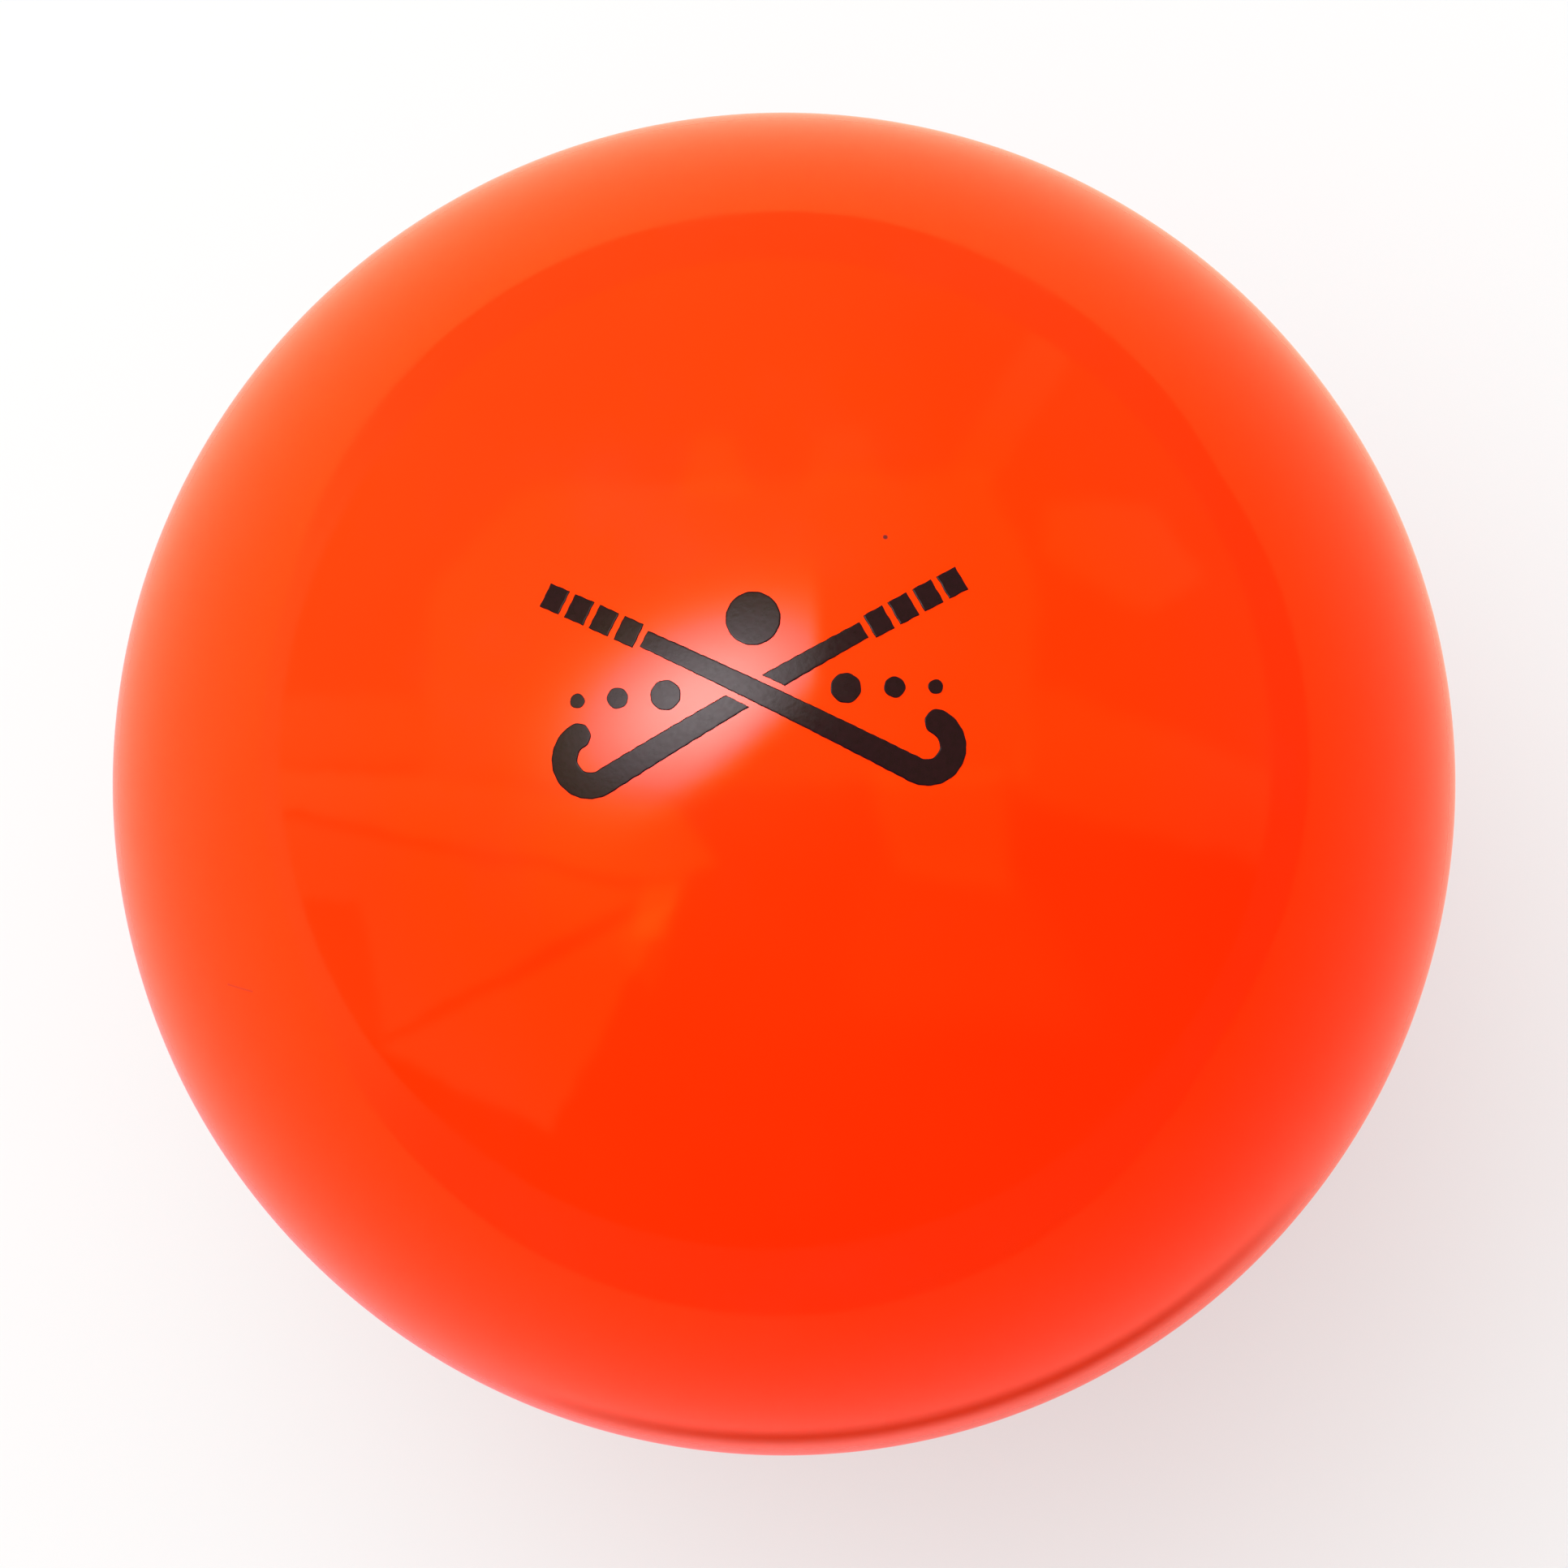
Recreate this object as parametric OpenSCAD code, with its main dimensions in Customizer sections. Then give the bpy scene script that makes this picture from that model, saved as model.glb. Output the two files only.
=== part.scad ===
// Field hockey ball: one smooth moulded ball, with a mark of two crossed sticks printed on its top.
// Millimetres. The origin is the ball's centre, +Z runs out through the point where the sticks
// cross, and +Y is the mark's upward direction before it is turned.

/* [Ball] */
// Diameter of the ball
ball_d = 73; // [71.3:0.1:74.8]

/* [Print] */
// Thickness of the ink film
ink_t = 0.05; // [0.03:0.01:0.2]
// Turn of the whole mark, anticlockwise
mark_turn = 2; // [-15:1:15]
// Gap left in the ink where one stroke passes over another
ink_gap = 0.3; // [0.2:0.05:0.5]

/* [Sticks] */
// Lean of each crossed stick from the upright
stick_lean = 62; // [50:1:65]
// Length of a stick above the crossing, to the end of its grip
handle_len = 11.6; // [10:0.1:13]
// Length of a stick below the crossing, to the start of its hook
shaft_len = 8.6; // [7:0.1:10]
// Width of the shaft at the grip
shaft_w = 0.9; // [0.6:0.05:1.1]
// Width of the hooked head
head_w = 1.3; // [0.9:0.05:1.6]
// Radius of the hook, to the middle of its stroke
hook_r = 1.3; // [1:0.05:1.8]
// Length of the grip
grip_len = 5.2; // [3:0.1:7]
// Width of the grip
grip_w = 1.3; // [0.9:0.05:1.8]
// Number of turns of tape on the grip
grip_turns = 4; // [2:1:6]

/* [Round signs] */
// Diameter of the small printed ball over the crossing
sign_d = 2.7; // [1.5:0.1:3.5]
// Height of the small printed ball over the crossing
sign_y = 3.6; // [3:0.1:5]
// Number of dots on each side of the crossing
dots = 3; // [1:1:3]
// Diameter of the largest dot
dot_d = 1.5; // [1:0.1:1.8]
// Distance from the crossing to the largest dot
dot_x = 4.4; // [3.5:0.1:5]
// Clear gap between neighbouring dots
dot_gap = 1.1; // [0.6:0.1:1.5]
// Size of each dot as a share of the one before it
dot_fall = 0.7; // [0.5:0.01:0.9]

/* [Hidden] */
$fn = 96;

ball_r = ball_d / 2;
ink_r = ball_r + ink_t;

// The grip is split into equal turns of tape, with an ink gap between them.
turn_len = (grip_len - (grip_turns - 1) * ink_gap) / grip_turns;
grip_y = handle_len - grip_len;

// Each dot's diameter, and the distance of its centre from the crossing.
function dot_size(i) = dot_d * pow(dot_fall, i);
function dot_place(i) =
    i == 0 ? dot_x : dot_place(i - 1) + dot_size(i - 1) / 2 + dot_gap + dot_size(i) / 2;

// Both spheres have their poles on the Y axis, so the mark lies on plain surface.
module round_body(r) rotate([90, 0, 0]) sphere(r);

// The half disc of radius r below the start of the hook.
module lower_half(r) intersection() {
    circle(r);
    translate([-r, -r]) square([2 * r, r]);
}

// A stick upright, with its crossing point at the origin and its hook turned to +X.
// margin widens the whole outline, to cut the clear edge around the upper stick.
module stick(margin = 0) {
    half_top = shaft_w / 2 + margin;
    half_head = head_w / 2 + margin;
    polygon([
        [-half_head, -shaft_len],
        [half_head, -shaft_len],
        [half_top, grip_y - ink_gap],
        [-half_top, grip_y - ink_gap]
    ]);
    translate([hook_r, -shaft_len]) difference() {
        lower_half(hook_r + half_head);
        circle(hook_r - half_head);
    }
    translate([2 * hook_r, -shaft_len]) circle(half_head);
    for (i = [0 : grip_turns - 1])
        translate([-grip_w / 2 - margin, grip_y + i * (turn_len + ink_gap) - margin])
            square([grip_w + 2 * margin, turn_len + 2 * margin]);
}

// One stick leans to the left and passes over the other, which leans to the right.
module crossed_sticks() {
    rotate(stick_lean) stick();
    difference() {
        mirror([1, 0]) rotate(stick_lean) stick();
        rotate(stick_lean) stick(ink_gap);
    }
}

module side_dots() {
    for (side = [-1, 1])
        for (i = [0 : dots - 1])
            translate([side * dot_place(i), 0]) circle(d = dot_size(i));
}

module mark_outline() {
    crossed_sticks();
    translate([0, sign_y]) circle(d = sign_d);
    side_dots();
}

module ball() {
    color("orangered") round_body(ball_r);
}

// The ink lies on the ball as a film of even thickness.
module printed_mark() {
    color("black") intersection() {
        difference() {
            round_body(ink_r);
            round_body(ball_r);
        }
        rotate(mark_turn) linear_extrude(2 * ink_r) mark_outline();
    }
}

ball();
printed_mark();
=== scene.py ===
# A glossy orange field hockey ball with a mark of crossed sticks printed on its top.
import math

import bpy
import numpy as np
from mathutils import Matrix, Vector


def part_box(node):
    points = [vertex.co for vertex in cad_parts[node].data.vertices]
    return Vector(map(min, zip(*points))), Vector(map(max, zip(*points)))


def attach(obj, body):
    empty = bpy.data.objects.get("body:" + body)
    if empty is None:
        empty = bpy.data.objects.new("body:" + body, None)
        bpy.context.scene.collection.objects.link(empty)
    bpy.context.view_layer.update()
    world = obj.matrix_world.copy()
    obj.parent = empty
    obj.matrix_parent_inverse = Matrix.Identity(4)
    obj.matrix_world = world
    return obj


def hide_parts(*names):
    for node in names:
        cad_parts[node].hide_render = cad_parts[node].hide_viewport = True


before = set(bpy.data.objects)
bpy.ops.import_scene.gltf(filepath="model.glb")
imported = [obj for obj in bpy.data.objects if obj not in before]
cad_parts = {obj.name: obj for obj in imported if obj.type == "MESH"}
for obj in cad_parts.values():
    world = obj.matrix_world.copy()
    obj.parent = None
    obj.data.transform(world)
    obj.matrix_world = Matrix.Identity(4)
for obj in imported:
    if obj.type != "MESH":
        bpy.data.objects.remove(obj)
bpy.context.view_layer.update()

MM = 0.001

# The ball. The CAD ball's poles lie on the Y axis, so its reach in Y is its true diameter.
BALL_LOW, BALL_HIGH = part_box("ball")
BALL_R = (BALL_HIGH.y - BALL_LOW.y) / 2
BALL_CELLS = 126
# How close two points of a mesh are welded, as a share of the ball's radius.
WELD_SHARE = 1e-7
# Slow waves that moulding leaves in the skin: cycles around the ball, height and phase.
SKIN_WAVES = [
    ((3.1, -1.7, 2.3), 0.005 * MM, 0.4),
    ((-2.2, 4.3, 1.1), 0.004 * MM, 1.9),
    ((5.2, 2.6, -4.9), 0.002 * MM, 3.1),
]

# The printed mark, in millimetres, with the same sizes as the CAD part's.
INK_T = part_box("printed_mark")[1].z - BALL_R
INK_GAP = 0.3
MARK_TURN = math.radians(2)
STICK_LEAN = math.radians(62)
HANDLE_LEN = 11.6
SHAFT_LEN = 8.6
SHAFT_W = 0.9
HEAD_W = 1.3
HOOK_R = 1.3
GRIP_LEN = 5.2
GRIP_W = 1.3
GRIP_TURNS = 4
SIGN_D = 2.7
SIGN_Y = 3.6
DOTS = 3
DOT_D = 1.5
DOT_X = 4.4
DOT_GAP = 1.1
DOT_FALL = 0.7
# Grid points across a stroke of ink.
STROKE_COLUMNS = 15

# The film's outer edge: how wide it rounds off, how far it sinks into the skin, and how much it wavers.
INK_EDGE = 0.02
INK_SUNK = 0.02 * MM
INK_WAVER = 0.012
INK_WAVER_LEN = 0.55

# Small marks on the skin: each speck's direction from the ball's centre, radius and strength, then the
# two ends of a faint hair line. The edge shares say where a mark is full and where it is gone.
SPECKS = [
    ((0.173, 0.213, 0.962), 0.14 * MM, 1.0),
    ((-0.100, -0.011, 0.995), 0.09 * MM, 0.12),
    ((-0.108, -0.026, 0.994), 0.10 * MM, 0.10),
    ((0.045, 0.764, 0.644), 0.13 * MM, 0.07),
]
SPECK_EDGE = (0.5, 1.3)
HAIR_ENDS = ((-0.762, -0.349, 0.546), (-0.722, -0.363, 0.589))
HAIR_HALF = 0.07 * MM
HAIR_EDGE = (0.4, 1.5)
HAIR_STRENGTH = 0.45

# Colours in linear light.
ORANGE = (1.0, 0.0325, 0.0003, 1)
DEEP_ORANGE = (0.99, 0.0308, 0.0002, 1)
SPECK_BROWN = (0.12, 0.012, 0.02, 1)
INK = (0.0095, 0.0012, 0.0085, 1)
WORN_INK = (0.0140, 0.0020, 0.0100, 1)
WHITE = (1, 1, 1, 1)

# The plastic's finish: how wide its patches are, and what each adds to its roughness.
PLASTIC_IOR = 1.5
CLOUD_WIDE = 14 * MM
CLOUD_RANGE = (0.35, 0.65)
SMOOTHEST = 0.05
SMEAR_WIDE = 9 * MM
SMEAR_RANGE = (0.45, 0.75)
SMEAR_ROUGH = 0.035
GRAIN_WIDE = 0.5 * MM
GRAIN_ROUGH = 0.03
PEEL_WIDE = 1.1 * MM
PEEL_HIGH = 0.0012 * MM

# The ink's finish: its mottle of colour, its roughness from patch to patch, and its uneven top.
INK_IOR = 1.32
MOTTLE_WIDE = 0.35 * MM
MOTTLE_RANGE = (0.35, 0.75)
INK_ROUGH = (0.14, 0.21)
INK_ROUGH_WIDE = 0.25 * MM
INK_ROUGH_RANGE = (0.3, 0.7)
INK_TOP_WIDE = 0.3 * MM
INK_TOP_HIGH = 0.004 * MM

# The camera looks down on the ball from nine radii away, a few degrees off the vertical.
CAMERA_REACH = 9.03 * BALL_R
CAMERA_TILT_Y = math.radians(7.15)
CAMERA_TILT_X = math.radians(2.17)
# The photo's width and the ball's radius in it, in pixels, and the sensor's width in millimetres.
PHOTO_SIDE = 1932
PHOTO_BALL_R = 827.3
SENSOR = 36

# The pale sheet that the ball lies on reaches this far from the ball on each side.
SHEET_LEFT = 18.25 * BALL_R
SHEET_RIGHT = 9.81 * BALL_R
SHEET_BACK = 7.19 * BALL_R
SHEET_FRONT = 5.93 * BALL_R
SHEET_SOFT = 0.12 * BALL_R
FLOOR_SIDE = 9.0


# Shapes

def rows_toward_ends(count):
    """Values from 0 to 1 that crowd towards both ends, as a cosine does."""
    return (1 - np.cos(np.linspace(0, np.pi, count))) / 2


def grid_triangles(rows, columns, start=0):
    """The two triangles of each cell of a grid of points that is numbered row by row."""
    corner = start + np.arange(rows - 1)[:, None] * columns + np.arange(columns - 1)
    corner = corner.reshape(-1, 1)
    first = corner + [0, columns, columns + 1]
    second = corner + [0, columns + 1, 1]
    return np.concatenate([first, second])


def make_piece(name, points, triangles, material):
    """Welds the points that coincide, drops triangles that close up or lie on each other, and makes
    a smooth mesh of the points that are left in use."""
    weld = BALL_R * WELD_SHARE
    _, first, place = np.unique(np.round(points / weld), axis=0, return_index=True, return_inverse=True)
    faces = place.reshape(-1)[triangles]
    faces = faces[(faces != np.roll(faces, 1, axis=1)).all(axis=1)]
    _, same, count = np.unique(np.sort(faces, axis=1), axis=0, return_inverse=True, return_counts=True)
    faces = faces[count[same.reshape(-1)] == 1]
    used, faces = np.unique(faces, return_inverse=True)
    mesh = bpy.data.meshes.new(name)
    mesh.from_pydata(points[first[used]], [], faces.reshape(-1, 3))
    mesh.polygons.foreach_set("use_smooth", np.ones(len(mesh.polygons), bool))
    mesh.materials.append(material)
    mesh.update()
    piece = bpy.data.objects.new(name, mesh)
    bpy.context.scene.collection.objects.link(piece)
    return piece


def skin(direction, lift=0.0):
    """Points of the ball's skin along unit directions: the ball's radius, plus a few slow sine waves
    that run through the directions, plus lift."""
    height = np.zeros(direction.shape[:-1])
    for cycles, tall, phase in SKIN_WAVES:
        height += tall * np.sin(direction @ np.array(cycles) * np.pi + phase)
    return direction * (BALL_R + height + lift)[..., None]


def cube_directions(cells):
    """Unit directions over six square grids, the sides of a cube with evenly spaced angles, each side
    ordered so that its cells face outwards."""
    spaced = np.tan(np.linspace(-np.pi / 4, np.pi / 4, cells + 1))
    u, v = np.meshgrid(spaced, spaced, indexing="ij")
    one = np.ones_like(u)
    sides = [(u, v, one), (v, u, -one), (one, u, v), (-one, v, u), (v, one, u), (u, -one, v)]
    cube = np.stack([np.stack(side, axis=-1) for side in sides])
    return cube / np.linalg.norm(cube, axis=-1, keepdims=True)


def ball_skin(material):
    """The moulded ball: one closed skin over the six grids of the cube's directions."""
    directions = cube_directions(BALL_CELLS)
    side = BALL_CELLS + 1
    points = skin(directions).reshape(-1, 3)
    triangles = [grid_triangles(side, side, n * side * side) for n in range(6)]
    return make_piece("moulded_ball", points, np.concatenate(triangles), material)


def on_the_ball(flat):
    """Unit directions of flat points of the mark, in millimetres: the mark is turned, wavers a little
    as a pad print does, and is pressed straight down on the ball."""
    x, y = flat[..., 0], flat[..., 1]
    step = 2 * np.pi / INK_WAVER_LEN
    x, y = x + INK_WAVER * np.sin(step * y + 2 * x), y + INK_WAVER * np.sin(step * x - 2 * y + 1)
    turned_x = x * np.cos(MARK_TURN) - y * np.sin(MARK_TURN)
    turned_y = x * np.sin(MARK_TURN) + y * np.cos(MARK_TURN)
    up = np.sqrt((BALL_R / MM) ** 2 - turned_x ** 2 - turned_y ** 2)
    return np.stack([turned_x, turned_y, up], axis=-1) * MM / BALL_R


def ink_film(flat, rim):
    """A closed film over a grid of flat points, where rim is each point's distance from the film's
    outline. The top rises in a quarter round next to the outline, the underside lies just under the
    skin, and the two share the outline."""
    rise = np.sqrt(1 - (1 - np.clip(rim / INK_EDGE, 0, 1)) ** 2)
    directions = on_the_ball(flat)
    top = skin(directions, (INK_T + INK_SUNK) * rise - INK_SUNK)
    under = skin(directions, np.full(rim.shape, -INK_SUNK))
    rows, columns = rim.shape
    over_faces = grid_triangles(rows, columns)
    under_faces = grid_triangles(rows, columns, rows * columns)[:, ::-1]
    points = np.concatenate([top.reshape(-1, 3), under.reshape(-1, 3)])
    a, b, c = (points[over_faces[:, n]] for n in range(3))
    outward = (np.cross(b - a, c - a) * a).sum()
    faces = np.concatenate([over_faces, under_faces])
    return points, faces if outward > 0 else faces[:, ::-1]


def half_shaft(y):
    """Half of a stick's width at height y, which tapers evenly from the head up to the grip."""
    share = (y + SHAFT_LEN) / (HANDLE_LEN - GRIP_LEN - INK_GAP + SHAFT_LEN)
    return (HEAD_W + (SHAFT_W - HEAD_W) * share) / 2


def crossing(across, side):
    """Where the lower stick stops beside the upper one. across runs from -1 to 1 over its width, and
    side is 1 above the crossing and -1 below it. The upper stick's edge, moved out by the ink gap, and
    the line at that share of the lower stick's width are both straight, so they meet at one height."""
    middle = half_shaft(0)
    slope = half_shaft(1) - middle
    sine, cosine = math.sin(2 * STICK_LEAN), math.cos(2 * STICK_LEAN)
    level = side * (middle + INK_GAP) + (side * slope * sine + cosine) * across * middle
    rate = sine - cosine * across * slope - side * slope * (sine * across * slope + cosine)
    return level / rate


def shaft_grid(top, bottom, rows=90, columns=STROKE_COLUMNS):
    """A stretch of shaft between two heights, each given for every column across its width."""
    across = 2 * rows_toward_ends(columns) - 1
    share = rows_toward_ends(rows)[:, None]
    y = top + (bottom - top) * share
    half = half_shaft(y)
    flat = np.stack([across * half, y], axis=-1)
    sideways = (1 - np.abs(across)) * half
    return flat, sideways, np.abs(y - top), np.abs(y - bottom)


def head_grid(top, columns=STROKE_COLUMNS, bend_rows=40, tip_rows=12):
    """The shaft from its top end down, the hook as a half turn about the hook's centre, and the toe as
    a half disc, all in one grid."""
    flat, sideways, from_top, _ = shaft_grid(top, -SHAFT_LEN, columns=columns)
    shaft_rim = np.minimum(sideways, from_top)
    across = 2 * rows_toward_ends(columns) - 1
    half = HEAD_W / 2
    bend = np.linspace(np.pi, 2 * np.pi, bend_rows)[1:, None]
    reach = HOOK_R - across * half
    hook = np.stack([HOOK_R + reach * np.cos(bend), -SHAFT_LEN + reach * np.sin(bend)], axis=-1)
    hook_rim = np.broadcast_to((1 - np.abs(across)) * half, hook.shape[:-1])
    tip = np.linspace(0, np.pi / 2, tip_rows)[1:, None]
    tip_x, tip_y = -across * half * np.cos(tip), half * np.sin(tip) + 0 * across
    toe = np.stack([2 * HOOK_R + tip_x, -SHAFT_LEN + tip_y], axis=-1)
    toe_rim = np.clip(half - np.hypot(tip_x, tip_y), 0, None)
    return np.concatenate([flat, hook, toe]), np.concatenate([shaft_rim, hook_rim, toe_rim])


def tape_grid(low, high, rows=13, columns=STROKE_COLUMNS):
    """One turn of tape on the grip: a straight band across the stick."""
    across = 2 * rows_toward_ends(columns) - 1
    along = 2 * rows_toward_ends(rows)[:, None] - 1
    half_x, half_y = GRIP_W / 2, (high - low) / 2
    x, y = across * half_x + 0 * along, along * half_y + 0 * across
    rim = np.minimum(half_x - np.abs(x), half_y - np.abs(y))
    return np.stack([x, y + (low + high) / 2], axis=-1), rim


def disc_grid(x, y, diameter, rows=14, columns=49):
    """A round dot: rings from its middle out to its rim."""
    out = np.sin(np.linspace(0, np.pi / 2, rows))[:, None] * diameter / 2
    turn = np.linspace(0, 2 * np.pi, columns)
    flat = np.stack([x + out * np.cos(turn), y + out * np.sin(turn)], axis=-1)
    return flat, np.broadcast_to(diameter / 2 - out, flat.shape[:-1])


def leaning(flat, mirrored):
    """Flat points of an upright stick, leaned over to the left, and mirrored for the other stick."""
    x = flat[..., 0] * np.cos(STICK_LEAN) - flat[..., 1] * np.sin(STICK_LEAN)
    y = flat[..., 0] * np.sin(STICK_LEAN) + flat[..., 1] * np.cos(STICK_LEAN)
    return np.stack([-x if mirrored else x, y], axis=-1)


def stick_films(mirrored):
    """The grids of one stick. The mirrored stick passes under the other, so its shaft is in two parts."""
    top = HANDLE_LEN - GRIP_LEN - INK_GAP
    across = 2 * rows_toward_ends(STROKE_COLUMNS) - 1
    if mirrored:
        flat, sideways, from_top, from_cut = shaft_grid(top + 0 * across, crossing(across, 1))
        grids = [(flat, np.minimum(sideways, np.minimum(from_top, from_cut)))]
        grids.append(head_grid(crossing(across, -1)))
    else:
        grids = [head_grid(top + 0 * across)]
    turn_len = (GRIP_LEN - (GRIP_TURNS - 1) * INK_GAP) / GRIP_TURNS
    for n in range(GRIP_TURNS):
        low = HANDLE_LEN - GRIP_LEN + n * (turn_len + INK_GAP)
        grids.append(tape_grid(low, low + turn_len))
    return [(leaning(flat, mirrored), rim) for flat, rim in grids]


def dot_grids():
    """The small printed ball over the crossing, and the dots on both sides, each smaller than the last."""
    grids = [disc_grid(0, SIGN_Y, SIGN_D)]
    x, size = DOT_X, DOT_D
    for n in range(DOTS):
        grids += [disc_grid(side * x, 0, size) for side in (-1, 1)]
        x += size / 2 + DOT_GAP + size * DOT_FALL / 2
        size *= DOT_FALL
    return grids


def ink_mark(material):
    """The whole printed mark: each film is its own closed shell, and all of them are one piece."""
    points, faces, count = [], [], 0
    for flat, rim in stick_films(False) + stick_films(True) + dot_grids():
        film_points, film_faces = ink_film(flat, rim)
        points.append(film_points)
        faces.append(film_faces + count)
        count += len(film_points)
    return make_piece("ink_mark", np.concatenate(points), np.concatenate(faces), material)


# Materials

class Nodes:
    """A material's or world's node tree, with short ways to add and join its nodes."""

    def __init__(self, owner):
        """Starts with an empty tree."""
        owner.use_nodes = True
        self.tree = owner.node_tree
        self.tree.nodes.clear()

    def add(self, kind, settings=None, **inputs):
        """Adds a node. settings are its own options; inputs are socket names with underscores, and
        each holds a value or an output socket to join."""
        made = self.tree.nodes.new("ShaderNode" + kind)
        for name, value in (settings or {}).items():
            setattr(made, name, value)
        for name, value in inputs.items():
            key = int(name[1:]) if name[0] == "_" else name.replace("_", " ")
            if isinstance(value, bpy.types.NodeSocket):
                self.tree.links.new(value, made.inputs[key])
            else:
                made.inputs[key].default_value = value
        return made

    def math(self, operation, a, b=0.0):
        """One sum, product or other operation on one or two values."""
        return self.add("Math", {"operation": operation}, _0=a, _1=b).outputs[0]

    def along(self, x, y, x_part, y_part):
        """x times x_part plus y times y_part."""
        return self.math("ADD", self.math("MULTIPLY", x, x_part), self.math("MULTIPLY", y, y_part))

    def spread(self, value, low, high, to_low=0.0, to_high=1.0, kind="SMOOTHSTEP"):
        """Maps a value from one range to another, and holds it there."""
        inputs = {"Value": value, "From_Min": low, "From_Max": high, "To_Min": to_low, "To_Max": to_high}
        return self.add("MapRange", {"interpolation_type": kind}, **inputs).outputs[0]

    def blend(self, share, first, second):
        """A colour between two colours."""
        return self.add("Mix", {"data_type": "RGBA"}, _0=share, _6=first, _7=second).outputs[2]

    def dot(self, a, b):
        """How far one direction goes along another."""
        return self.add("VectorMath", {"operation": "DOT_PRODUCT"}, _0=a, _1=b).outputs["Value"]

    def distance(self, a, b):
        """How far apart two places are."""
        return self.add("VectorMath", {"operation": "DISTANCE"}, _0=a, _1=b).outputs["Value"]

    def noise(self, place, size, detail=2.0, roughness=0.5):
        """Cloudy noise whose patches are about size metres wide, from 0 to 1."""
        inputs = {"Vector": place, "Scale": 1 / size, "Detail": detail, "Roughness": roughness}
        return self.add("TexNoise", None, **inputs).outputs[0]

    def finish(self, surface):
        """Joins a shader to the material's or the world's output."""
        kind = "OutputWorld" if isinstance(self.tree.id_data, bpy.types.World) else "OutputMaterial"
        out = self.add(kind)
        self.tree.links.new(surface, out.inputs["Surface"])


def hair_distance(n, place):
    """How far a place is from the hair line, a straight line between its two ends."""
    start, end = (Vector(direction).normalized() * BALL_R for direction in HAIR_ENDS)
    line = end - start
    from_start = n.add("VectorMath", {"operation": "SUBTRACT"}, _0=place, _1=start).outputs[0]
    share = n.dot(from_start, line / line.length_squared)
    share = n.spread(share, 0.0, 1.0, kind="LINEAR")
    nearest = n.add("VectorMath", {"operation": "SCALE"}, _0=line, Scale=share).outputs[0]
    return n.distance(from_start, nearest)


def orange_plastic():
    """Smooth moulded plastic: an even, glowing orange with the faintest clouding of its pigment, a high
    gloss with soft handling smears, and a fine orange-peel skin."""
    material = bpy.data.materials.new("orange_moulded_plastic")
    n = Nodes(material)
    place = n.add("TexCoord").outputs["Object"]
    cloud = n.spread(n.noise(place, CLOUD_WIDE), *CLOUD_RANGE)
    colour = n.blend(cloud, ORANGE, DEEP_ORANGE)
    for direction, radius, strength in SPECKS:
        away = n.distance(place, Vector(direction).normalized() * BALL_R)
        full, gone = (radius * share for share in SPECK_EDGE)
        colour = n.blend(n.spread(away, full, gone, strength, 0.0), colour, SPECK_BROWN)
    full, gone = (HAIR_HALF * share for share in HAIR_EDGE)
    hair = n.spread(hair_distance(n, place), full, gone, HAIR_STRENGTH, 0.0)
    colour = n.blend(hair, colour, SPECK_BROWN)
    smear = n.spread(n.noise(place, SMEAR_WIDE, detail=4.0, roughness=0.6), *SMEAR_RANGE)
    grain = n.noise(place, GRAIN_WIDE)
    roughness = n.along(smear, grain, SMEAR_ROUGH, GRAIN_ROUGH)
    roughness = n.math("ADD", roughness, SMOOTHEST)
    peel = n.noise(place, PEEL_WIDE, detail=1.0)
    bump = n.add("Bump", None, Strength=1.0, Distance=PEEL_HIGH, Height=peel)
    shader = n.add("BsdfPrincipled", None, Base_Color=colour, Roughness=roughness, Normal=bump.outputs[0])
    shader.inputs["IOR"].default_value = PLASTIC_IOR
    n.finish(shader.outputs[0])
    return material


def black_ink():
    """Printing ink: nearly black and a little warm, with a softer shine than the plastic and a fine
    mottle."""
    material = bpy.data.materials.new("black_printing_ink")
    n = Nodes(material)
    place = n.add("TexCoord").outputs["Object"]
    mottle = n.spread(n.noise(place, MOTTLE_WIDE, detail=3.0, roughness=0.6), *MOTTLE_RANGE)
    colour = n.blend(mottle, INK, WORN_INK)
    patches = n.noise(place, INK_ROUGH_WIDE)
    roughness = n.spread(patches, *INK_ROUGH_RANGE, *INK_ROUGH, "LINEAR")
    uneven = n.noise(place, INK_TOP_WIDE)
    bump = n.add("Bump", None, Strength=1.0, Distance=INK_TOP_HIGH, Height=uneven)
    shader = n.add("BsdfPrincipled", None, Base_Color=colour, Roughness=roughness, Normal=bump.outputs[0])
    shader.inputs["IOR"].default_value = INK_IOR
    n.finish(shader.outputs[0])
    return material


# The studio

def pointing(place, target=Vector((0, 0, 0)), up=Vector((0, 1, 0))):
    """The place and turn of a camera at a place, looking at a target with up towards +Y."""
    back = (place - target).normalized()
    right = up.cross(back).normalized()
    turn = Matrix((right, back.cross(right), back)).transposed()
    return Matrix.Translation(place) @ turn.to_4x4()


def camera_stand():
    """Where the camera stands, turned to look at the ball's centre."""
    side, front = math.sin(CAMERA_TILT_X), -math.sin(CAMERA_TILT_Y)
    way = Vector((side, front, math.sqrt(1 - side ** 2 - front ** 2)))
    return pointing(way * CAMERA_REACH)


PICTURE_RIGHT, PICTURE_UP, TO_CAMERA = (Vector(axis[:3]) for axis in camera_stand().transposed()[:3])


def picture_way(turn, lean):
    """A direction that leans away from the camera by one angle, towards another angle in the picture."""
    level = PICTURE_RIGHT * math.cos(turn) + PICTURE_UP * math.sin(turn)
    return TO_CAMERA * math.cos(lean) + level * math.sin(lean)


# The light that falls on the ball, as strengths at which a white surface shows white at 1.
FILL_TOP = (0.65, 0.42, 0.41, 1)
FILL_LOW = (1.03, 0.67, 0.66, 1)
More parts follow.
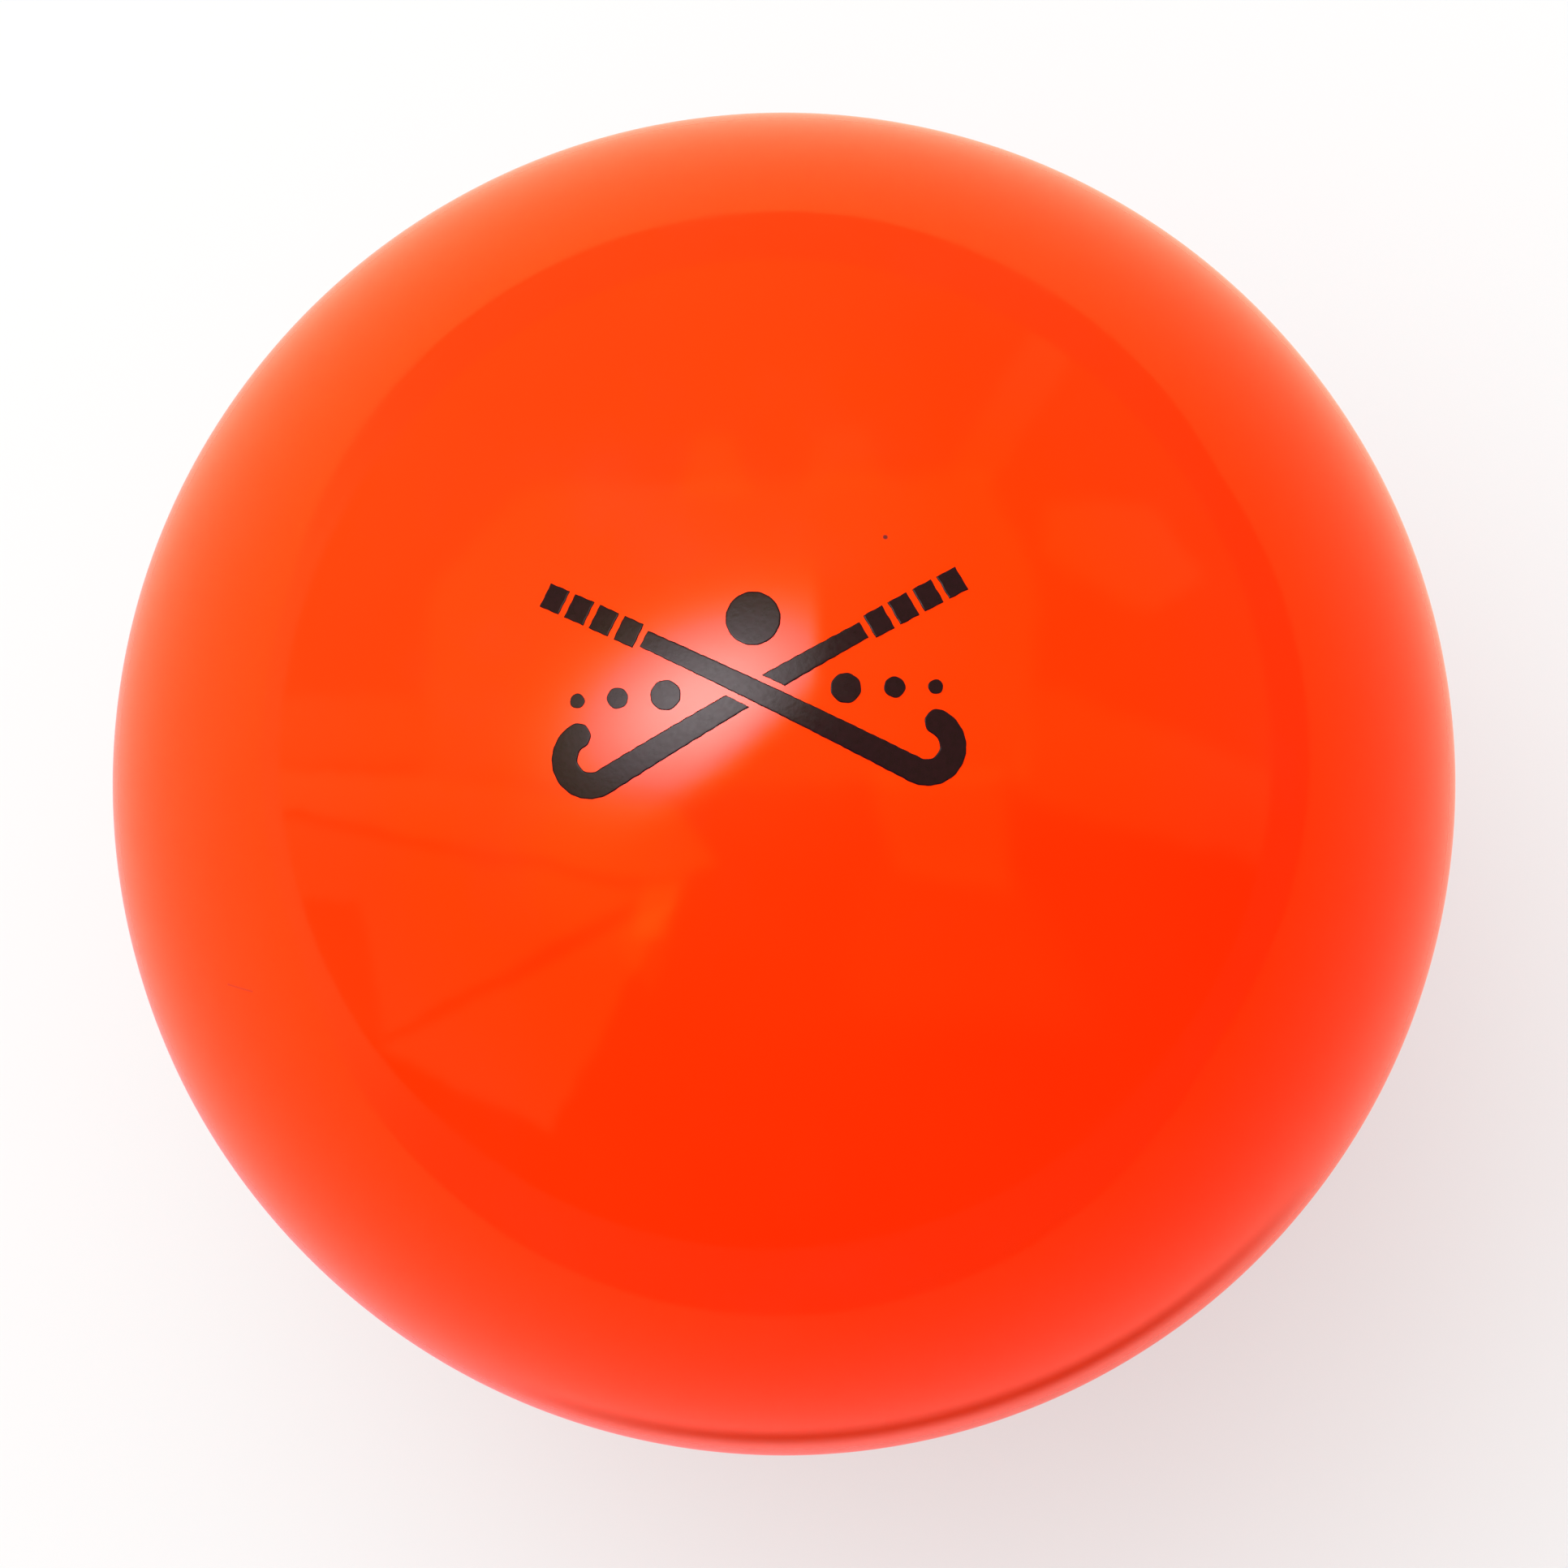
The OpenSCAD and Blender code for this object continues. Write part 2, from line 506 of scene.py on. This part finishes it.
# The fill's green and blue are weaker on the side away from the key.
FILL_BRIGHT_SIDE = (1.0, 1.5, 1.5, 1)
FILL_SHADE_SIDE = (1.0, 0.5, 0.5, 1)
KEY_LIGHT = 3.3
KEY_TURN = math.radians(126)
KEY_LEAN = math.radians(42)
KEY_WAY = picture_way(KEY_TURN, KEY_LEAN)
KEY_LEVEL_WAY = picture_way(KEY_TURN, math.radians(90))
KEY_TIGHTNESS = 5.0

# What the gloss mirrors. Places are in radii from the ball's centre in the picture, and strengths are
# as above. The ball shows a direction at the half-way vector, seen a little larger from so near.
# The room is dim, and its warm tint is whiter towards the horizon: the low tint holds up to the
# first height, and is gone at the second.
MIRROR_SPREAD = 1.04
ROOM_TINT = (1.25, 0.85, 0.05, 1)
ROOM_TINT_LOW = (1.45, 0.85, 0.18, 1)
ROOM_TINT_HEIGHTS = (0.12, 0.62)
ROOM_DIM = 0.03
# The soft box is a turned bell of light with a middle, two half widths and a turn. It is cut off at
# its right side, and along a line at its lower right corner, each with a soft edge.
SOFTBOX_AT = (-0.117, 0.123)
SOFTBOX_HALF = (0.158, 0.094)
SOFTBOX_TURN = math.radians(24)
SOFTBOX_LIGHT = 9.2
# Where the soft box is weak it looks warm, and above this strength it is nearly white.
SOFTBOX_WARM = (1.0, 0.96, 0.05, 1)
SOFTBOX_WHITE = (1.0, 0.97, 1.0, 1)
SOFTBOX_WHITE_FROM = 2.6
SOFTBOX_RIGHT = 0.050
SOFTBOX_EDGE = 0.014
SOFTBOX_CORNER = -0.080
SOFTBOX_CORNER_TURN = math.radians(-48)
SOFTBOX_CORNER_EDGE = 0.038
# Panels round the room, as corners in the picture taken anticlockwise, with a softness and a tone.
PANELS = [
    ([(1.1, -0.02), (1.1, 1.1), (-1.1, 1.1), (-1.1, -0.02)], 0.12, 0.24),
    ([(0.20, 0.0), (0.10, 1.1), (-1.1, 1.1), (-1.1, 0.0)], 0.12, 0.08),
    ([(0.36, 0.0), (0.38, 0.30), (0.30, 0.46), (-0.38, 0.44), (-0.52, 0.30), (-0.54, 0.0)], 0.02, 0.28),
    ([(-0.54, 0.03), (-0.54, 0.13), (-1.1, 0.13), (-1.1, 0.03)], 0.015, 0.20),
    ([(-0.10, -0.12), (-0.16, -0.03), (-0.80, 0.03), (-0.80, -0.03), (-0.22, -0.14)], 0.012, 0.44),
    ([(-0.22, -0.153), (-0.80, -0.045), (-0.76, -0.175), (-0.24, -0.175)], 0.012, 0.38),
    ([(-0.24, -0.175), (-0.625, -0.175), (-0.595, -0.38)], 0.012, 0.38),
    ([(-0.62, -0.18), (-0.76, -0.18), (-0.66, -0.34), (-0.595, -0.39)], 0.012, 0.15),
    ([(-0.16, -0.165), (-0.60, -0.395), (-0.35, -0.52)], 0.012, 0.38),
    ([(-0.14, -0.13), (-0.23, -0.15), (-0.25, -0.24), (-0.195, -0.31)], 0.012, 0.16),
    ([(-0.15, -0.135), (-0.21, -0.15), (-0.225, -0.225), (-0.175, -0.225)], 0.015, 0.55),
    ([(-0.14, -0.08), (-0.36, -0.04), (-0.42, -0.14), (-0.29, -0.25), (-0.17, -0.22)], 0.06, 0.26),
    ([(0.34, -0.16), (0.32, 0.02), (0.13, 0.02), (0.16, -0.13)], 0.02, 0.28),
    ([(0.46, -0.36), (0.34, -0.12), (0.12, -0.12), (0.10, -0.34)], 0.05, 0.12),
    ([(0.72, -0.12), (0.76, 0.01), (0.38, 0.15), (0.33, -0.02)], 0.02, 0.20),
    ([(0.31, 0.44), (0.43, 0.64), (0.38, 0.70), (0.24, 0.46)], 0.015, 0.18),
    ([(0.53, 0.25), (0.63, 0.31), (0.55, 0.42), (0.39, 0.42), (0.38, 0.34)], 0.02, 0.26),
    ([(-0.05, 0.43), (-0.07, 0.52), (-0.13, 0.52), (-0.16, 0.43)], 0.015, 0.26),
    ([(0.15, 0.44), (0.12, 0.53), (0.05, 0.52), (0.03, 0.44)], 0.015, 0.18),
]
# How far the panels' edges waver, and over what length.
PANEL_WAVER = 0.03
PANEL_WAVER_LEN = 0.08


def panel_share(n, across, above, corners, soft):
    """1 inside a convex outline and 0 outside it: the product over its sides of how far in a place is."""
    share = 1.0
    for (x, y), (next_x, next_y) in zip(corners, corners[1:] + corners[:1]):
        length = math.hypot(next_x - x, next_y - y)
        in_x, in_y = (y - next_y) / length, (next_x - x) / length
        depth = n.along(across, above, in_x, in_y)
        edge = x * in_x + y * in_y
        share = n.math("MULTIPLY", n.spread(depth, edge - soft, edge + soft), share)
    return share


def softbox_tone(n, across, above):
    """The soft box: a turned bell of light, cut off at its right side and at its lower right corner."""
    sine, cosine = math.sin(SOFTBOX_TURN), math.cos(SOFTBOX_TURN)
    along, over = SOFTBOX_HALF
    x = n.math("SUBTRACT", across, SOFTBOX_AT[0])
    y = n.math("SUBTRACT", above, SOFTBOX_AT[1])
    x_share = n.along(x, y, cosine / along, sine / along)
    y_share = n.along(x, y, -sine / over, cosine / over)
    fall = n.math("ADD", n.math("MULTIPLY", x_share, x_share), n.math("MULTIPLY", y_share, y_share))
    bell = n.math("EXPONENT", n.math("MULTIPLY", fall, -1.0))
    right = n.spread(across, SOFTBOX_RIGHT - SOFTBOX_EDGE, SOFTBOX_RIGHT + SOFTBOX_EDGE, 1.0, 0.0)
    cut = n.along(across, above, math.cos(SOFTBOX_CORNER_TURN), math.sin(SOFTBOX_CORNER_TURN))
    near, far = SOFTBOX_CORNER - SOFTBOX_CORNER_EDGE, SOFTBOX_CORNER + SOFTBOX_CORNER_EDGE
    corner = n.spread(cut, near, far, 1.0, 0.0)
    return n.math("MULTIPLY", n.math("MULTIPLY", bell, SOFTBOX_LIGHT), n.math("MULTIPLY", right, corner))


def wavering(n, value, place, start):
    """A place on the room's panels, moved a little by a cloudy noise. start picks a part of the noise."""
    shifted = n.add("VectorMath", {"operation": "ADD"}, _0=place, _1=(start, -start, 0)).outputs[0]
    cloud = n.math("SUBTRACT", n.noise(shifted, PANEL_WAVER_LEN), 0.5)
    return n.math("ADD", value, n.math("MULTIPLY", cloud, PANEL_WAVER))


def mirrored_room(n, way):
    """What the gloss sees above the floor: a dim warm room with faint panels, and the soft box."""
    half_way = n.add("VectorMath", {"operation": "ADD"}, _0=way, _1=TO_CAMERA).outputs[0]
    half_way = n.add("VectorMath", {"operation": "NORMALIZE"}, _0=half_way).outputs[0]
    across = n.dot(half_way, PICTURE_RIGHT * MIRROR_SPREAD)
    above = n.dot(half_way, PICTURE_UP * MIRROR_SPREAD)
    light = softbox_tone(n, across, above)
    colour = n.blend(n.spread(light, 0.0, SOFTBOX_WHITE_FROM, kind="LINEAR"), SOFTBOX_WARM, SOFTBOX_WHITE)
    box = n.add("Background", None, Color=colour, Strength=light).outputs[0]
    across, above = wavering(n, across, half_way, 1.0), wavering(n, above, half_way, 2.0)
    tone = ROOM_DIM
    for corners, soft, panel_tone in PANELS:
        share = panel_share(n, across, above, corners, soft)
        tone = n.math("ADD", n.math("MULTIPLY", share, panel_tone), tone)
    height = n.add("SeparateXYZ", None, Vector=way).outputs[2]
    tint = n.blend(n.spread(height, *ROOM_TINT_HEIGHTS), ROOM_TINT_LOW, ROOM_TINT)
    room = n.add("Background", None, Color=tint, Strength=tone).outputs[0]
    return n.add("AddShader", None, _0=room, _1=box).outputs[0]


def falling_light(n, way):
    """What falls on the ball: fill, stronger towards the horizon and whiter on the key's side, and a soft
    key from one side."""
    height = n.add("SeparateXYZ", None, Vector=way).outputs[2]
    fill = n.blend(n.spread(height, 0.0, 1.0, kind="LINEAR"), FILL_LOW, FILL_TOP)
    side = n.spread(n.dot(way, KEY_LEVEL_WAY), -1.0, 1.0, kind="LINEAR")
    tint = n.blend(side, FILL_SHADE_SIDE, FILL_BRIGHT_SIDE)
    fill = n.add("VectorMath", {"operation": "MULTIPLY"}, _0=fill, _1=tint).outputs[0]
    lobe = n.math("POWER", n.math("MAXIMUM", n.dot(way, KEY_WAY), 0.0), KEY_TIGHTNESS)
    key = n.add("Background", None, Color=WHITE, Strength=n.math("MULTIPLY", lobe, KEY_LIGHT)).outputs[0]
    even = n.add("Background", None, Color=fill, Strength=1.0).outputs[0]
    return n.add("AddShader", None, _0=even, _1=key).outputs[0]


def studio_world():
    """The light all round. The camera sees plain white, and the gloss sees the room."""
    world = bpy.data.worlds.new("studio")
    world.cycles.sampling_method = "NONE"
    bpy.context.scene.world = world
    n = Nodes(world)
    path = n.add("LightPath")
    way = n.add("TexCoord").outputs["Generated"]
    fallen, mirrored = falling_light(n, way), mirrored_room(n, way)
    lit = n.add("MixShader", None, _0=path.outputs["Is Glossy Ray"], _1=fallen, _2=mirrored).outputs[0]
    white = n.add("Background", None, Color=WHITE, Strength=1.0).outputs[0]
    n.finish(n.add("MixShader", None, _0=path.outputs["Is Camera Ray"], _1=lit, _2=white).outputs[0])


# The floor's tone as the light that bounces off it sees it, and as the camera does.
FLOOR_TONE = (0.70, 0.80, 0.80, 1)
FLOOR_SEEN = (0.65, 0.80, 0.80, 1)
# The floor's tones as the gloss sees it, which are painted light: each is brighter on the side where more
# light falls. Each has an angle from +X, the tone on that side and the tone on the side across. The sheet
# has a far tone, and a painted brightening of light that is added next to the ball.
SHEET_FAR_PAINTED_LIGHT = (math.radians(135), (0.80, 0.48, 0.10), (0.90, 0.11, 0.00))
SHEET_NEAR_PAINTED_LIGHT = (math.radians(162), (0.10, 0.00, 0.46), (0.10, 0.60, 0.60))
SHEET_NEAR_FALL = 1.5
PAST_SHEET_PAINTED_LIGHT = (math.radians(145), (0.22, 0.17, 0.06), (0.08, 0.05, 0.02))
# A painted patch of brighter reflected light past the sheet, towards the left.
PAST_LEFT_PAINTED_LIGHT = (0.50, 0.40, 0.11, 1)
PAST_LEFT_TURN = math.radians(180)
PAST_LEFT_SPAN = math.radians(48)
# The deepest part of the ball's shadow, a narrow arc on the floor away from the key.
CORE_TONE = (0.04, 0.08, 0.05, 1)
CORE_TURN = math.radians(-77)
CORE_SPAN = math.radians(48)
CORE_SHIFT = 0.30 * BALL_R
CORE_REACH = 1.26 * BALL_R
CORE_HALF = 0.22 * BALL_R
# The camera sees this share of the shadow near the ball. It fades from one distance to another.
SHADOW_SHARE = 0.5
SHADOW_FROM = 0.105
SHADOW_TO = 0.35


def sheet_share(n, place):
    """1 on the pale sheet and 0 past its four sides, with a soft edge."""
    split = n.add("SeparateXYZ", None, Vector=place)
    x, y = split.outputs[0], split.outputs[1]
    sides = [
        n.spread(x, -SHEET_LEFT - SHEET_SOFT, -SHEET_LEFT + SHEET_SOFT),
        n.spread(x, SHEET_RIGHT - SHEET_SOFT, SHEET_RIGHT + SHEET_SOFT, 1.0, 0.0),
        n.spread(y, -SHEET_FRONT - SHEET_SOFT, -SHEET_FRONT + SHEET_SOFT),
        n.spread(y, SHEET_BACK - SHEET_SOFT, SHEET_BACK + SHEET_SOFT, 1.0, 0.0),
    ]
    share = sides[0]
    for side in sides[1:]:
        share = n.math("MULTIPLY", share, side)
    return share


def level_way(turn):
    """The level direction at an angle from +X."""
    return Vector((math.cos(turn), math.sin(turn), 0))


def core_share(n, place):
    """1 in the middle of the dark arc and 0 off it: near one distance from a point beside the ball, on
    the side away from the key."""
    centre = level_way(CORE_TURN) * CORE_SHIFT
    away = n.distance(place, centre)
    off = n.math("ABSOLUTE", n.math("SUBTRACT", away, CORE_REACH))
    level = n.add("VectorMath", {"operation": "NORMALIZE"}, _0=place).outputs[0]
    facing = n.spread(n.dot(level, level_way(CORE_TURN)), math.cos(CORE_SPAN), 1.0)
    return n.math("MULTIPLY", n.spread(off, 0.0, CORE_HALF, 1.0, 0.0), facing)


def sided(n, level, tones):
    """A tone that changes evenly from one side of the floor to the side across."""
    turn, here, across = tones
    side = n.spread(n.dot(level, level_way(turn)), -1.0, 1.0, kind="LINEAR")
    return n.blend(side, across + (1,), here + (1,))


def mirrored_sheet(n, place, away):
    """The sheet's colour as the gloss sees it, all painted light and shade: a painted warm light, brighter
    towards the ball and the key, a painted dark core of the ball's shadow, and a painted pale patch on the
    left."""
    level = n.add("VectorMath", {"operation": "NORMALIZE"}, _0=place).outputs[0]
    near = n.math("DIVIDE", BALL_R, n.math("MAXIMUM", away, BALL_R))
    near = n.math("POWER", near, SHEET_NEAR_FALL)
    # Painted light next to the ball, fading with distance from it.
    painted_near_light = sided(n, level, SHEET_NEAR_PAINTED_LIGHT)
    painted_near_light = n.add("VectorMath", {"operation": "SCALE"}, _0=painted_near_light, Scale=near).outputs[0]
    sheet = sided(n, level, SHEET_FAR_PAINTED_LIGHT)
    sheet = n.add("VectorMath", {"operation": "ADD"}, _0=sheet, _1=painted_near_light).outputs[0]
    sheet = n.blend(core_share(n, place), sheet, CORE_TONE)
    left = n.spread(n.dot(level, level_way(PAST_LEFT_TURN)), math.cos(PAST_LEFT_SPAN), 1.0)
    past = n.blend(left, sided(n, level, PAST_SHEET_PAINTED_LIGHT), PAST_LEFT_PAINTED_LIGHT)
    return n.blend(sheet_share(n, place), past, sheet)


def floor_material():
    """A pale sheet that keeps the ball's shadow. Far from the ball the camera sees plain white. What
    the gloss sees has painted light and shade in its tones, and ends at its four sides."""
    material = bpy.data.materials.new("pale_sheet")
    n = Nodes(material)
    path = n.add("LightPath")
    place = n.add("TexCoord").outputs["Object"]
    away = n.add("VectorMath", {"operation": "LENGTH"}, _0=place).outputs["Value"]
    tone = n.blend(path.outputs["Is Camera Ray"], FLOOR_TONE, FLOOR_SEEN)
    tone = n.blend(path.outputs["Is Glossy Ray"], tone, mirrored_sheet(n, place, away))
    lit = n.add("BsdfDiffuse", None, Color=tone).outputs[0]
    white = n.add("Emission", None, Color=WHITE, Strength=1.0).outputs[0]
    plain = n.spread(away, SHADOW_FROM, SHADOW_TO, 1 - SHADOW_SHARE, 1.0)
    share = n.math("MULTIPLY", plain, path.outputs["Is Camera Ray"])
    n.finish(n.add("MixShader", None, _0=share, _1=lit, _2=white).outputs[0])
    return material


def make_floor():
    """A flat square under the ball."""
    x, y = np.meshgrid([-FLOOR_SIDE / 2, FLOOR_SIDE / 2], [-FLOOR_SIDE / 2, FLOOR_SIDE / 2], indexing="ij")
    points = np.stack([x, y, 0 * x], axis=-1).reshape(-1, 3)
    floor = make_piece("floor", points, grid_triangles(2, 2), floor_material())
    floor.location.z = -BALL_R


def make_camera():
    """The camera over the ball, with the lens that gives the ball its size in the photograph."""
    lens = bpy.data.cameras.new("camera")
    half_ball = math.tan(math.asin(BALL_R / CAMERA_REACH))
    lens.sensor_width = SENSOR
    lens.lens = SENSOR / (2 * half_ball * (PHOTO_SIDE / 2) / PHOTO_BALL_R)
    lens.clip_start = BALL_R
    camera = bpy.data.objects.new("camera", lens)
    camera.matrix_world = camera_stand()
    bpy.context.scene.collection.objects.link(camera)
    bpy.context.scene.camera = camera


ball = ball_skin(orange_plastic())
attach(ball, "root")
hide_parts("ball")

mark = ink_mark(black_ink())
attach(mark, "root")
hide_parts("printed_mark")

studio_world()
make_floor()
make_camera()
bpy.context.scene.view_settings.view_transform = "Standard"
